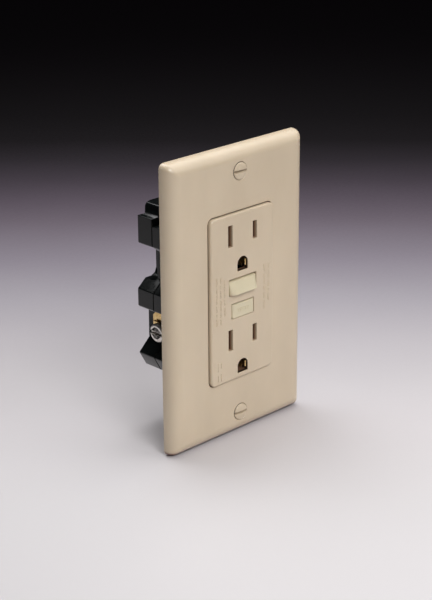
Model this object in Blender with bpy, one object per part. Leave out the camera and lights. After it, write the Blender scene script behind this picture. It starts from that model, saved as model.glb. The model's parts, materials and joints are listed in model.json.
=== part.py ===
"""A ground-fault receptacle with its wall plate, built piece by piece.

X runs across the face, Y into the wall and Z up. The origin is the centre of the wall plane: the
plate's rim and the strap's ears both lie on Y = 0. The front faces -Y. All sizes below are in
millimetres, and MM turns them into metres when a mesh is made.
"""

from math import cos, pi, sin

import bmesh
import bpy
from mathutils import Vector

MM = 0.001
GAP = 0.3  # the clearance kept between neighbouring pieces
FAR = 80.0  # a cutter's reach past anything on the object

# Driving dimensions of the device standard.
PLATE_W, PLATE_H, PLATE_DEPTH = 69.85, 114.3, 6.0
FACE_W, FACE_H = 32.9, 66.3
PLATE_SCREW_Z = 48.4  # the plate's screws, above and below the centre
MOUNT_SCREW_Z = 41.65  # the screws that hold the strap to the wall box
BLADE_X = 6.35  # half the spacing of a plug's two blades
GROUND_DROP = 11.9  # the ground pin's distance below the blades
UPPER_Z, LOWER_Z = 24.85, -16.5  # the blades' height in the two receptacles

# The plate.
PLATE_RIM = 0.9  # the straight part of the flank, next to the wall
PLATE_BEVEL = 5.0  # how far the rounded flank runs in from the rim
POCKET_FRONT = -3.6  # the floor of the hollow behind the plate
SCREW_R = 1.6  # a number 6 screw
HOLE_R = SCREW_R + GAP

# The face and its buttons.
FACE_FRONT = -7.3
FACE_INNER = -4.9  # the inside of the face's front wall
FLANGE_X, FLANGE_Z = 20.9, 34.3
FLANGE_Y = (-2.8, 1.4)
GROUND_R = 2.75
TEST_HOLE = (7.25, 1.4, 7.85)  # half width, lowest, highest
RESET_HOLE = (6.0, -8.2, -2.05)
TEST_Z = 4.85
RESET_Z = -5.05
TEST_PROUD = 1.9  # how far the test button's lower edge stands out of the face
TEST_SIDE, TEST_SWELL = -7.0, 2.4
RESET_PROUD = 0.3
BUTTON_GAP = 0.3

# The strap.
STRAP_T = 1.2
STRAP_BACK = 2.9  # the rear of its middle, which is set back from the ears
RIVET_RISE = 5.2  # a ground contact's rivet above its hole
EAR_X, EAR_Z = 9.5, (38.0, 53.4)

# The housings.
CORE_X = 16.0
LOBE_X = 21.2
CORE_TOP, CORE_BOTTOM = 33.3, -34.2
BACK_Y = 28.2
UPPER_BACK_Y = 27.3  # the rear face steps forward above the load wires' notches
SEAM_Y = 19.5
WALL = 1.5
TRAY_Y = 25.8  # the inside of the rear housing's back
CAVITY_X = 14.4
POST_X, POST_Z = 9.2, 23.6  # the cavity is narrower than this beyond the screw posts
FLOOR_Y = (9.2, 10.6)  # the partition between contacts and electronics
NOTCH = (11.6, 22.6, 2.6, 17.6)  # the load wires' way in: inner wall, front, lowest, highest
HOUSING_SCREWS = ((-13.2, 29.6), (13.2, 29.6), (-13.2, -29.8), (13.2, -29.8))

# The switching mechanism, front to back.
STRIP_Y = (7.6, 8.3)
FIXED_Y = (8.6, 9.6)
MOVING_Y = (9.9, 10.9)
ARM_Y = (11.2, 11.7)
ARM_ROOT_Z = -15.5
ARM_X = 10.5
CONTACT_Z = 4.0
CARRIAGE_Y = 12.0
LATCH_Y = (17.5, 18.3)
SOLENOID_Y = 17.9
BOARD_Y = (24.4, 25.5)
PART_BACK = BOARD_Y[0] - GAP  # where the parts on the board end
SENSOR_Z = -24.0

# The four wire terminals: height, depth of the screw, then the terminal plate's box in Y and Z.
LOAD = {"z": 9.4, "y": 11.8, "plate_y": (7.2, 16.0), "plate_z": (5.4, 13.4)}
LINE = {"z": -16.9, "y": 18.8, "plate_y": (14.0, 24.4), "plate_z": (-20.8, -10.0)}
TERMINAL_X = (16.3, 17.1)
CLAMP_X = (17.4, 18.3)
HEAD_X = (18.6, 20.8)
HEAD_R = 3.7


def material(name, colour, roughness, metallic=0.0):
    """A Principled BSDF of one colour."""
    made = bpy.data.materials.get(name)
    if made is None:
        made = bpy.data.materials.new(name)
        made.use_nodes = True
        shader = made.node_tree.nodes["Principled BSDF"]
        shader.inputs["Base Color"].default_value = (*colour, 1.0)
        shader.inputs["Roughness"].default_value = roughness
        shader.inputs["Metallic"].default_value = metallic
        made.diffuse_color = (*colour, 1.0)
    return made


def ivory():
    return material("ivory_plastic", (0.66, 0.55, 0.40), 0.38)


def button_ivory():
    return material("button_plastic", (0.68, 0.60, 0.44), 0.35)


def black():
    return material("black_housing", (0.012, 0.015, 0.014), 0.3)


def grey():
    return material("grey_plastic", (0.20, 0.20, 0.21), 0.5)


def steel():
    return material("zinc_steel", (0.62, 0.63, 0.64), 0.35, 1.0)


def brass():
    return material("brass", (0.71, 0.51, 0.24), 0.3, 1.0)


def silver():
    return material("nickel_screw", (0.74, 0.72, 0.68), 0.3, 1.0)


def green():
    return material("green_screw", (0.03, 0.22, 0.09), 0.35, 0.6)


def copper():
    return material("copper_wire", (0.60, 0.24, 0.10), 0.35, 1.0)


def fibre():
    return material("fibre_board", (0.55, 0.42, 0.24), 0.8)


def laminate():
    return material("board_laminate", (0.05, 0.20, 0.09), 0.5)


def component():
    return material("component_body", (0.03, 0.03, 0.035), 0.45)


def orange_coating():
    return material("varistor_coating", (0.50, 0.20, 0.05), 0.4)


def ferrite():
    return material("sensor_core", (0.09, 0.09, 0.10), 0.6)


# Shapes. Each returns a bmesh in millimetres.


def closed(bm):
    bmesh.ops.recalc_face_normals(bm, faces=bm.faces)
    return bm


def placed(axis, across, up, along):
    """A point from a 2-D outline and a distance along an axis.

    The outline's pair is (Y, Z) on axis X, (X, Z) on axis Y and (X, Y) on axis Z.
    """
    if axis == "X":
        return Vector((along, across, up))
    if axis == "Y":
        return Vector((across, along, up))
    return Vector((across, up, along))


def block(x, y, z):
    """A box from its lowest and highest values on each axis."""
    outline = [(x[0], z[0]), (x[1], z[0]), (x[1], z[1]), (x[0], z[1])]
    return prism("Y", outline, y)


def prism(axis, outline, span):
    """A closed outline, extruded along an axis over a span."""
    return loft(axis, [(outline, span[0]), (outline, span[1])])


def loft(axis, sections):
    """Closed outlines of equal length at their distances along an axis, bridged and capped."""
    bm = bmesh.new()
    rings = [[bm.verts.new(placed(axis, a, b, at)) for a, b in outline] for outline, at in sections]
    for low, high in zip(rings, rings[1:]):
        for i, corner in enumerate(low):
            after = (i + 1) % len(low)
            bm.faces.new((corner, low[after], high[after], high[i]))
    bm.faces.new(rings[0])
    bm.faces.new(rings[-1])
    return closed(bm)


def circle(centre, radius, sides=16, start=0.0):
    angles = [start + 2 * pi * i / sides for i in range(sides)]
    return [(centre[0] + radius * cos(a), centre[1] + radius * sin(a)) for a in angles]


def rod(axis, centre, radius, span, sides=16):
    return prism(axis, circle(centre, radius, sides), span)


def turned(axis, centre, profile, sides=20):
    """A solid of revolution from (radius, distance along the axis) pairs, front to back."""
    return loft(axis, [(circle(centre, radius, sides), at) for radius, at in profile])


def turned_ring(axis, centre, profile, sides=24):
    """A ring whose cross-section is a closed outline of (radius, distance along the axis) pairs."""
    bm = bmesh.new()
    loops = []
    for radius, at in profile:
        loops.append([bm.verts.new(placed(axis, a, b, at)) for a, b in circle(centre, radius, sides)])
    for one, two in zip(loops, loops[1:] + loops[:1]):
        for k in range(sides):
            after = (k + 1) % sides
            bm.faces.new((one[k], one[after], two[after], two[k]))
    return closed(bm)


def ring(axis, centre, outer, inner, span, sides=24):
    """A short tube."""
    low, high = span
    return turned_ring(axis, centre, [(inner, low), (outer, low), (outer, high), (inner, high)], sides)


def rounded(width, height, radius, steps=4):
    """The outline of a rectangle with round corners, centred on the axis."""
    points = []
    for quarter, (sx, sz) in enumerate(((1, 1), (-1, 1), (-1, -1), (1, -1))):
        for i in range(steps + 1):
            a = pi / 2 * (quarter + i / steps)
            x = sx * (width / 2 - radius) + radius * cos(a)
            points.append((x, sz * (height / 2 - radius) + radius * sin(a)))
    return points


def arch(centre_z, radius):
    """A ground pin's hole: round at the top, square below."""
    points = [(-radius, centre_z - radius), (radius, centre_z - radius)]
    return points + [(radius * cos(pi * i / 10), centre_z + radius * sin(pi * i / 10)) for i in range(11)]


def slot_outline(half_length, radius, centre_z, steps=6):
    """A slot that is long in X, with round ends."""
    points = []
    for side in (1, -1):
        for i in range(steps + 1):
            a = -pi / 2 + pi * i / steps + (0 if side > 0 else pi)
            points.append((side * (half_length - radius) + radius * cos(a), centre_z + radius * sin(a)))
    return points


def helix(axis, centre, radius, span, turns, wire=0.25, steps=9, sides=5):
    """A coil spring: a wire of that radius, wound round an axis, with flat ends."""
    bm = bmesh.new()
    count = int(turns * steps)
    length = span[1] - span[0] - 2 * wire
    rings = []
    for i in range(count + 1):
        a = 2 * pi * i / steps
        at = span[0] + wire + length * i / count
        loop = []
        for k in range(sides):
            b = 2 * pi * k / sides
            r = radius + wire * cos(b)
            point = placed(axis, centre[0] + r * cos(a), centre[1] + r * sin(a), at + wire * sin(b))
            loop.append(bm.verts.new(point))
        rings.append(loop)
    for low, high in zip(rings, rings[1:]):
        for k in range(sides):
            after = (k + 1) % sides
            bm.faces.new((low[k], low[after], high[after], high[k]))
    bm.faces.new(rings[0])
    bm.faces.new(rings[-1])
    return closed(bm)


# Objects.


def mesh_object(name, bm, origin=(0.0, 0.0, 0.0)):
    """An object whose origin is at that point, in millimetres, with its mesh in place."""
    mesh = bpy.data.meshes.new(name)
    bmesh.ops.translate(bm, verts=bm.verts, vec=-Vector(origin))
    bmesh.ops.scale(bm, verts=bm.verts, vec=(MM, MM, MM))
    bm.to_mesh(mesh)
    bm.free()
    obj = bpy.data.objects.new(name, mesh)
    obj.location = Vector(origin) * MM
    bpy.context.scene.collection.objects.link(obj)
    return obj


def helper(obj, bm, operation, number):
    """A Boolean modifier on obj, with its own hidden helper object."""
    tool = mesh_object(f"tool_{obj.name}_{number}", bm)
    tool.hide_render = True
    tool.display_type = "WIRE"
    modifier = obj.modifiers.new(f"{operation.lower()}_{number}", "BOOLEAN")
    modifier.operation = operation
    modifier.solver = "EXACT"
    modifier.object = tool


def piece(name, finish, base, within=(), add=(), cut=(), origin=(0.0, 0.0, 0.0)):
    """A named node: a base shape, trimmed to others, joined to more, then cut."""
    obj = mesh_object(name, base, origin)
    obj.data.materials.append(finish)
    steps = [("INTERSECT", bm) for bm in within]
    steps += [("UNION", bm) for bm in add]
    steps += [("DIFFERENCE", bm) for bm in cut]
    for number, (operation, bm) in enumerate(steps):
        helper(obj, bm, operation, number)
    obj.data.shade_smooth()
    obj.data.set_sharp_from_angle(angle=pi / 6)
    return obj


# The wall plate and its screws.


def plate_sections(steps=5):
    """The plate's outer shape: a straight rim, then a flank that rounds over to the front."""
    corner = 2.2
    sections = [(rounded(PLATE_W, PLATE_H, corner), 0.0), (rounded(PLATE_W, PLATE_H, corner), -PLATE_RIM)]
    for i in range(1, steps + 1):
        a = pi / 2 * i / steps
        inset = PLATE_BEVEL * (1 - cos(a))
        y = -(PLATE_RIM + (PLATE_DEPTH - PLATE_RIM) * sin(a))
        radius = max(corner - 0.4 * inset, 0.4)
        sections.append((rounded(PLATE_W - 2 * inset, PLATE_H - 2 * inset, radius), y))
    return sections


def wall_plate():
    side = 2.4
    opening = rounded(FACE_W + 2 * GAP, FACE_H + 2 * GAP, 2.4)
    cuts = [
        prism("Y", rounded(PLATE_W - 2 * side, PLATE_H - 2 * side, 1.5, 2), (POCKET_FRONT, 2.0)),
        prism("Y", opening, (-8.0, 2.0)),
    ]
    for z in (PLATE_SCREW_Z, -PLATE_SCREW_Z):
        cone = [(3.6, -8.0), (3.6, -PLATE_DEPTH), (HOLE_R, 1.7 - PLATE_DEPTH), (HOLE_R, 1.0)]
        cuts.append(turned("Y", (0.0, z), cone))
    piece("wall_plate", ivory(), loft("Y", plate_sections()), cut=cuts)


def wall_plate_screw(name, z):
    """An oval-head screw with a level slot."""
    rim = -PLATE_DEPTH
    profile = [(1.8, rim - 0.7), (2.7, rim - 0.45), (3.25, rim)]
    profile += [(SCREW_R, rim + 1.65), (SCREW_R, 5.6), (1.1, 6.4)]
    slot = block((-5.0, 5.0), (-9.0, rim + 0.2), (z - 0.5, z + 0.5))
    piece(name, ivory(), turned("Y", (0.0, z), profile), cut=[slot], origin=(0.0, 0.0, z))


# The face and the two buttons.


def face_sections():
    """The raised front of the face, with a small round along its edge."""
    edge = 0.7
    sections = [(rounded(FACE_W, FACE_H, 2.1), -1.6), (rounded(FACE_W, FACE_H, 2.1), FACE_FRONT + edge)]
    for i in (1, 2, 3):
        a = pi / 2 * i / 3
        inset = edge * (1 - cos(a))
        outline = rounded(FACE_W - 2 * inset, FACE_H - 2 * inset, 2.1 - inset)
        sections.append((outline, FACE_FRONT + edge * (1 - sin(a))))
    return sections


def receptacle_openings(blades_z):
    """The two blade slots and the ground hole of one receptacle."""
    through = (FACE_FRONT - 2.0, FACE_INNER + 1.0)
    neutral = block((-BLADE_X - 1.2, -BLADE_X + 1.1), through, (blades_z - 4.3, blades_z + 4.2))
    hot = block((BLADE_X - 1.0, BLADE_X + 1.2), through, (blades_z - 3.7, blades_z + 3.3))
    return [neutral, hot, prism("Y", arch(blades_z - GROUND_DROP, GROUND_R), through)]


def face_cover():
    flange = prism("Y", rounded(2 * FLANGE_X, 2 * FLANGE_Z, 2.0, 3), FLANGE_Y)
    behind = (FACE_INNER, 3.0)
    cuts = [
        block((-14.6, 14.6), behind, (-POST_Z, POST_Z)),
        block((-POST_X, POST_X), behind, (-31.3, 31.3)),
        block((-19.1, 19.1), (-1.2, 3.0), (-POST_Z + 0.4, POST_Z - 0.4)),
        block((-POST_X, POST_X), (-1.2, 3.0), (-32.9, 32.9)),
    ]
    for blades_z in (UPPER_Z, LOWER_Z):
        cuts += receptacle_openings(blades_z)
    for half, low, high in (TEST_HOLE, RESET_HOLE):
        cuts.append(block((-half, half), (-9.0, FACE_INNER + 1.0), (low, high)))
    for x, z in HOUSING_SCREWS:
        cuts.append(rod("Y", (x, z), 1.4, (-1.6, 3.0), 12))
    piece("face_cover", ivory(), loft("Y", face_sections()), add=[flange], cut=cuts)


def cap_plan(half, back, tip, corner):
    """A button's outline in X and Y, square at the back and with its two front corners rounded."""
    plan = [(half, back), (-half, back)]
    for i in range(6):
        a = pi + pi / 2 * i / 5
        plan.append((-half + corner + corner * cos(a), tip + corner + corner * sin(a)))
    return plan + [(-x, y) for x, y in reversed(plan[2:])]


def test_section(z, tip, side):
    """The test button's outline at one height: level sides that swell out to its front."""
    half = TEST_HOLE[0] - BUTTON_GAP
    outline = [(half, -3.4), (-half, -3.4)]
    for i in range(7):
        a = pi / 2 * i / 6
        outline.append((-half + TEST_SWELL * (1 - cos(a)), side + (tip - side) * sin(a)))
    return outline + [(-x, y) for x, y in reversed(outline[2:])], z


def test_button():
    """A wedge that swells out to its lower edge, with a retaining lip and a stem."""
    half, low, high = TEST_HOLE
    half, low, high = half - BUTTON_GAP, low + BUTTON_GAP, high - BUTTON_GAP
    tip = FACE_FRONT - TEST_PROUD
    sections = [test_section(low, tip + 0.5, TEST_SIDE + 0.3), test_section(low + 0.4, tip, TEST_SIDE)]
    sections.append(test_section(high - 0.8, TEST_SIDE - 0.01, TEST_SIDE))
    sections.append(test_section(high, TEST_SIDE + 1.6, TEST_SIDE + 1.61))
    lip = block((-half - 0.9, half + 0.9), (-4.6, -3.2), (low - 0.8, high + 0.8))
    stem = rod("Y", (0.0, TEST_Z), 1.1, (-3.6, 13.1), 14)
    piece("test_button", button_ivory(), loft("Z", sections), add=[lip, stem], origin=(0.0, -4.6, TEST_Z))


def reset_button():
    """A flat cap, a little proud of the face while the device is set."""
    half, low, high = RESET_HOLE
    half, low, high = half - BUTTON_GAP, low + BUTTON_GAP, high - BUTTON_GAP
    cap = prism("Z", cap_plan(half, -0.9, FACE_FRONT - RESET_PROUD, 0.9), (low, high))
    lip = block((-half - 0.9, half + 0.9), (-2.0, -0.9), (low - 0.8, high + 0.8))
    socket = rod("Y", (0.0, RESET_Z), 1.3, (-3.8, 1.0), 14)
    piece("reset_button", button_ivory(), cap, add=[lip], cut=[socket], origin=(0.0, -2.0, RESET_Z))
    pin = [(1.0, -3.4), (1.0, 16.7), (0.6, 17.1), (0.6, 18.7), (1.0, 19.1), (1.0, 20.7), (0.5, 21.5)]
    piece("reset_rod", steel(), turned("Y", (0.0, RESET_Z), pin, 14), origin=(0.0, 0.0, RESET_Z))


def reset_spring():
    """The coil that pushes the reset button out, between its lip and the strap."""
    piece("reset_spring", steel(), helix("Y", (0.0, RESET_Z), 1.9, (-0.6, 1.4), 2.5))


# The strap, its ground contacts and the mounting screws.


def mounting_strap():
    """A steel strip: two ears on the wall, a set-back middle, and a bent tab for the ground screw."""
    front = STRAP_BACK - STRAP_T
    middle = block((-4.4, 4.4), (front, STRAP_BACK), (-37.2, 37.2))
    add, cut = [], []
    for sign in (1, -1):
        low, high = sorted((sign * EAR_Z[0], sign * EAR_Z[1]))
        add.append(block((-EAR_X, EAR_X), (-STRAP_T, 0.0), (low, high)))
        bend = sorted((sign * 36.8, sign * 38.2))
        add.append(block((-7.0, 7.0), (-STRAP_T, STRAP_BACK), bend))
        for side in (1, -1):
            if sign < 0 and side < 0:
                continue  # the ground tab takes this wing's place
            wing = [(side * a, sign * b) for a, b in ((11.0, 39.8), (16.2, 39.8), (16.2, 49.2), (11.0, 49.2))]
            neck = [(side * a, sign * b) for a, b in ((9.0, 43.2), (11.5, 43.2), (11.5, 46.2), (9.0, 46.2))]
            add += [prism("Y", wing, (-STRAP_T, 0.0)), prism("Y", neck, (-STRAP_T, 0.0))]
            cut.append(rod("Y", (side * 13.6, sign * 44.6), 1.6, (-4.0, 4.0), 12))
        cut.append(prism("Y", slot_outline(4.0, 2.1, sign * MOUNT_SCREW_Z), (-4.0, 2.0)))
        cut.append(rod("Y", (0.0, sign * PLATE_SCREW_Z), HOLE_R, (-4.0, 4.0)))
    add.append(block((-10.4, -9.2), (-STRAP_T, 9.6), (-49.0, -39.4)))
    cut.append(rod("X", (5.0, -44.2), 2.2, (-12.0, -8.0)))
    for blades_z in (UPPER_Z, LOWER_Z):
        z = blades_z - GROUND_DROP
        add.append(block((-6.4, 6.4), (front, STRAP_BACK), (z - 4.4, z + 7.0)))
        cut.append(rod("Y", (0.0, z), 3.5, (0.0, 4.0)))
        cut.append(rod("Y", (0.0, z + RIVET_RISE), 1.2, (0.0, 4.0), 10))
    for z, radius in ((TEST_Z, 1.5), (RESET_Z, 1.4)):
        cut.append(rod("Y", (0.0, z), radius, (0.0, 4.0)))
    piece("mounting_strap", steel(), middle, add=add, cut=cut)


def ground_contact(name, blades_z):
    """A brass clip with two arms that grip the ground pin, riveted to the strap."""
    z = blades_z - GROUND_DROP
    front = STRAP_BACK - STRAP_T - GAP
    base = block((-4.2, 4.2), (front - 0.7, front), (z - 4.0, z + 6.6))
    arms = [block(sorted((s * 2.45, s * 3.1)), (-4.1, front - 0.2), (z - 2.6, z + 1.6)) for s in (-1, 1)]
    holes = [rod("Y", (0.0, z), 3.45, (0.0, 3.0)), rod("Y", (0.0, z + RIVET_RISE), 1.2, (0.0, 3.0), 10)]
    feet = [block(sorted((s * 2.45, s * 4.0)), (front - 0.7, front), (z - 2.6, z + 1.6)) for s in (-1, 1)]
    clip = piece(name, brass(), base, cut=holes)
    for number, shape in enumerate(arms + feet):
        helper(clip, shape, "UNION", 10 + number)
    head = front - 0.9
    profile = [(1.0, head - 0.8), (1.7, head - 0.3), (1.7, head - 0.1), (0.9, head)]
    profile += [(0.9, 3.2), (1.5, 3.3), (1.5, 3.9)]
    piece(name.replace("contact", "rivet"), brass(), turned("Y", (0.0, z + RIVET_RISE), profile, 10))


def mounting_screw(name, z):
    """A pan-head screw through an ear, held by a square retainer behind it."""
    seat = -STRAP_T - GAP
    profile = [(2.4, -3.1), (3.4, -2.6), (3.4, seat), (SCREW_R, seat + 0.05), (SCREW_R, 17.2), (0.9, 18.4)]
    slot = block((-5.0, 5.0), (-5.0, -2.2), (z - 0.45, z + 0.45))
    piece(name, steel(), turned("Y", (0.0, z), profile), cut=[slot], origin=(0.0, 0.0, z))
    washer = block((-4.3, 4.3), (GAP, 1.0), (z - 3.4, z + 3.4))
    hole = rod("Y", (0.0, z), HOLE_R, (-1.0, 3.0))
    piece(name.replace("screw", "retainer"), fibre(), washer, cut=[hole])


def ground_screw():
    """A green hex-head screw in the strap's bent tab."""
    y, z = 5.0, -44.2
    head = prism("X", circle((y, z), 3.9, 6, pi / 6), (-13.4, -10.7))
    shank = rod("X", (y, z), 1.85, (-11.0, -4.2))
    slot = block((-16.0, -12.4), (y - 0.45, y + 0.45), (z - 6.0, z + 6.0))
    piece("ground_terminal_screw", green(), head, add=[shank], cut=[slot], origin=(-10.0, y, z))


# The housings.


def housing_outline(barrier_top, guide):
    """The housing seen from the front, with three wire barriers on each side.

    The upper barrier's lower edge is cut off at 45 degrees by the size of guide, which leads a wire in.
    """
    out = LOBE_X
    half = [(14.8, CORE_TOP), (16.6, CORE_TOP - 0.5), (17.4, CORE_TOP - 1.6), (17.6, barrier_top)]
    half += [(out, barrier_top), (out, 18.0), (out - guide, 18.0 - guide), (CORE_X, 18.0 - guide)]
    half += [(CORE_X, 3.4), (17.2, 2.6), (out, -0.8), (out, -7.7), (out - 0.8, -8.5), (CORE_X, -8.8)]
    half += [(CORE_X, -22.2), (out - 0.1, -27.0), (out, -27.4), (18.0, -33.0), (16.2, CORE_BOTTOM)]
    return half + [(-x, z) for x, z in reversed(half)]


def rear_face(z):
    return UPPER_BACK_Y if z > NOTCH[3] else BACK_Y


def load_notches():
    """The rear corners cut away beside the upper recesses, for the load wires."""
    inner, front, low, high = NOTCH
    outline = [(30.0, low), (inner + 2.6, low), (inner + 0.8, low + 0.9), (inner, low + 2.8)]
    outline += [(inner, high), (30.0, high)]
    return [prism("Y", [(s * x, z) for x, z in outline], (front, FAR)) for s in (-1, 1)]


def middle_housing():
    """The front half: a band under the face, the contact cavities, a partition, the terminal recesses."""
    front, rear = housing_outline(26.0, 3.7), housing_outline(26.0, 0.4)
    shell = loft("Y", [(front, 4.0), (front, 15.5), (rear, SEAM_Y - GAP / 2)])
    band = block((-FLANGE_X, FLANGE_X), (1.7, 4.4), (-FLANGE_Z, FLANGE_Z))
    cuts = [
        block((-CAVITY_X, CAVITY_X), (0.0, FLOOR_Y[0]), (-POST_Z, POST_Z)),
        block((-POST_X, POST_X), (0.0, FLOOR_Y[0]), (-32.6, 31.8)),
        block((-CAVITY_X, CAVITY_X), (FLOOR_Y[1], FAR), (-POST_Z, POST_Z)),
        block((-POST_X, POST_X), (FLOOR_Y[1], FAR), (-32.6, 31.8)),
        block((-7.4, 7.4), (0.0, STRAP_BACK + GAP), (-FAR, FAR)),
    ]
    for s in (-1, 1):
        window = sorted((s * 8.4, s * 12.6))
        cuts.append(block(window, (FLOOR_Y[0] - 1.0, FLOOR_Y[1] + 1.0), (CONTACT_Z - 2.4, CONTACT_Z + 2.4)))
        wall = sorted((s * 14.0, s * 18.0))
        cuts.append(block(wall, (STRIP_Y[0] - GAP, STRIP_Y[1] + GAP), (LOAD["z"] - 1.4, LOAD["z"] + 1.4)))
        cuts.append(block(wall, (15.9, 18.5), (-12.9, -10.7)))
    for z, radius in ((TEST_Z, 1.5), (RESET_Z, 1.4)):
        cuts.append(rod("Y", (0.0, z), radius, (5.0, 14.0)))
    for x, z in HOUSING_SCREWS:
        cuts.append(rod("Y", (x, z), 1.4, (-1.0, FAR), 12))
    piece("middle_housing", black(), shell, add=[band], cut=cuts)


def rear_housing():
    """The rear half: a tray for the board, with counterbores for the four long screws."""
    outline = housing_outline(28.8, 0.4)
    inner, front, low, high = NOTCH
    cuts = [
        block((-FAR, FAR), (UPPER_BACK_Y, FAR), (high - 0.1, FAR)),
        block((-CAVITY_X, CAVITY_X), (0.0, front - WALL), (-POST_Z, POST_Z)),
        block((-CAVITY_X, CAVITY_X), (0.0, TRAY_Y), (-POST_Z, low - WALL)),
        block((-CAVITY_X, CAVITY_X), (0.0, TRAY_Y), (high + WALL, POST_Z)),
        block((WALL - inner, inner - WALL), (0.0, TRAY_Y), (0.0, 22.0)),
        block((-POST_X, POST_X), (0.0, TRAY_Y), (-32.6, 31.8)),
        *load_notches(),
    ]
    for x, z in HOUSING_SCREWS:
        cuts.append(rod("Y", (x, z), 1.4, (0.0, FAR), 12))
        cuts.append(rod("Y", (x, z), 2.7, (rear_face(z) - 1.5, FAR)))
    piece("rear_housing", black(), prism("Y", outline, (SEAM_Y + GAP / 2, BACK_Y)), cut=cuts)


def housing_screw(name, x, z):
    """A long screw from the rear, through both housings, into the face."""
    seat = rear_face(z) - 1.2
    profile = [(0.7, -1.2), (1.1, -0.6), (1.1, seat - 0.05)]
    profile += [(2.3, seat), (2.3, seat + 0.5), (1.6, seat + 1.0)]
    slot = block((x - 3.0, x + 3.0), (seat + 0.5, seat + 3.0), (z - 0.4, z + 0.4))
    piece(name, steel(), turned("Y", (x, z), profile, 14), cut=[slot])


# The contacts and terminals.


def receptacle_bus(name, side):
    """A brass strip with two blade clips, the fixed contact's pad and the load terminal."""
    spans = [(z - 3.7, z + 3.7) for z in (UPPER_Z, LOWER_Z)]
    strip = block(sorted((side * 7.0, side * 8.9)), STRIP_Y, (spans[1][0], spans[0][1]))
    add = []
    for span in spans:
        add.append(block(sorted((side * 4.9, side * 7.9)), STRIP_Y, span))
        add.append(block(sorted((side * 4.9, side * 5.5)), (-3.8, STRIP_Y[1]), span))
        add.append(block(sorted((side * 7.2, side * 7.8)), (-3.8, STRIP_Y[1]), span))
    add.append(block(sorted((side * 8.5, side * 12.2)), STRIP_Y, (CONTACT_Z - 1.9, CONTACT_Z + 1.9)))
    add.append(block(sorted((side * 8.5, side * TERMINAL_X[1])), STRIP_Y, (LOAD["z"] - 1.1, LOAD["z"] + 1.1)))
    plate = terminal_plate(side, LOAD)
    hole = rod("X", (LOAD["y"], LOAD["z"]), 2.3, sorted((side * 16.0, side * 18.0)))
    piece(name, brass(), strip, add=[*add, plate], cut=[hole])


def terminal_plate(side, terminal):
    """The flat outside plate of a terminal, with its corners cut off."""
    (y0, y1), (z0, z1) = terminal["plate_y"], terminal["plate_z"]
    c = 1.6
    outline = [(y0 + c, z0), (y1 - c, z0), (y1, z0 + c), (y1, z1 - c)]
    outline += [(y1 - c, z1), (y0 + c, z1), (y0, z1 - c), (y0, z0 + c)]
    return prism("X", outline, sorted((side * TERMINAL_X[0], side * TERMINAL_X[1])))


def line_terminal(name, side):
    """The line side's outside plate, and the bar that takes it through the wall to the board."""
    link = block(sorted((side * 12.6, side * TERMINAL_X[1])), (16.2, 18.2), (-12.5, -11.1))
    bar = block(sorted((side * 12.6, side * 13.4)), (16.2, PART_BACK), (-12.5, -11.1))
    hole = rod("X", (LINE["y"], LINE["z"]), 2.3, sorted((side * 16.0, side * 18.0)))
    piece(name, brass(), terminal_plate(side, LINE), add=[link, bar], cut=[hole])


def wire_terminal(name, side, terminal, finish):
    """A clamp plate and its screw, which draws the plate onto the wire."""
    y, z = terminal["y"], terminal["z"]
    clamp = block(sorted((side * CLAMP_X[0], side * CLAMP_X[1])), (y - 4.2, y + 4.2), (z - 3.5, z + 3.5))
    hole = rod("X", (y, z), 2.3, sorted((side * 17.0, side * 19.0)))
    piece(f"clamp_plate_{name}", brass(), clamp, cut=[hole], origin=(side * CLAMP_X[0], y, z))
    head, top = HEAD_X
    profile = [(2.0, 16.25), (2.0, head - 0.02), (HEAD_R, head), (HEAD_R, top - 0.5), (HEAD_R - 0.9, top)]
    screw = turned("X", (y, z), [(r, side * x) for r, x in profile])
    slots = [
        block(sorted((side * (top - 1.1), side * (top + 2.0))), (y - 5.0, y + 5.0), (z - 0.5, z + 0.5)),
        block(sorted((side * (top - 1.1), side * (top + 2.0))), (y - 0.6, y + 0.6), (z - 2.2, z + 2.2)),
    ]
    piece(f"terminal_screw_{name}", finish, screw, cut=slots, origin=(side * head, y, z))


def contact_set(name, side):
    """One pole of the switch: the fixed contact, and the arm with the moving contact."""
    span = sorted((side * (ARM_X - 1.5), side * (ARM_X + 1.5)))
    centre = (side * ARM_X, CONTACT_Z)
    piece(f"fixed_contact_{name}", silver(), rod("Y", centre, 1.6, FIXED_Y, 14))
    root = (side * ARM_X, sum(ARM_Y) / 2, ARM_ROOT_Z)
    arm = block(span, ARM_Y, (ARM_ROOT_Z - 0.9, CONTACT_Z + 1.8))
    rivet = rod("Y", centre, 0.6, (MOVING_Y[1] - 0.4, ARM_Y[1] + 0.3), 10)
    piece(f"contact_arm_{name}", copper(), arm, add=[rivet], origin=root)
    tip = ring("Y", centre, 1.5, 0.95, (MOVING_Y[0], MOVING_Y[1]), 14)
    piece(f"moving_contact_{name}", silver(), tip, origin=root)
    post = block(span, (ARM_Y[1] + GAP, PART_BACK), (ARM_ROOT_Z - 0.9, ARM_ROOT_Z + 0.9))
    piece(f"arm_post_{name}", brass(), post)


# The trip mechanism.


def contact_carriage():
    """The block on the reset rod, whose wings hold both contact arms closed."""
    centre = block((-7.6, 7.6), (CARRIAGE_Y, 16.2), (-9.0, -1.4))
    wings = block((-12.4, 12.4), (CARRIAGE_Y, 14.2), (-8.4, -5.3))
    hole = rod("Y", (0.0, RESET_Z), 1.4, (0.0, 20.0))
    piece("contact_carriage", grey(), centre, add=[wings], cut=[hole], origin=(0.0, CARRIAGE_Y, RESET_Z))


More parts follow.
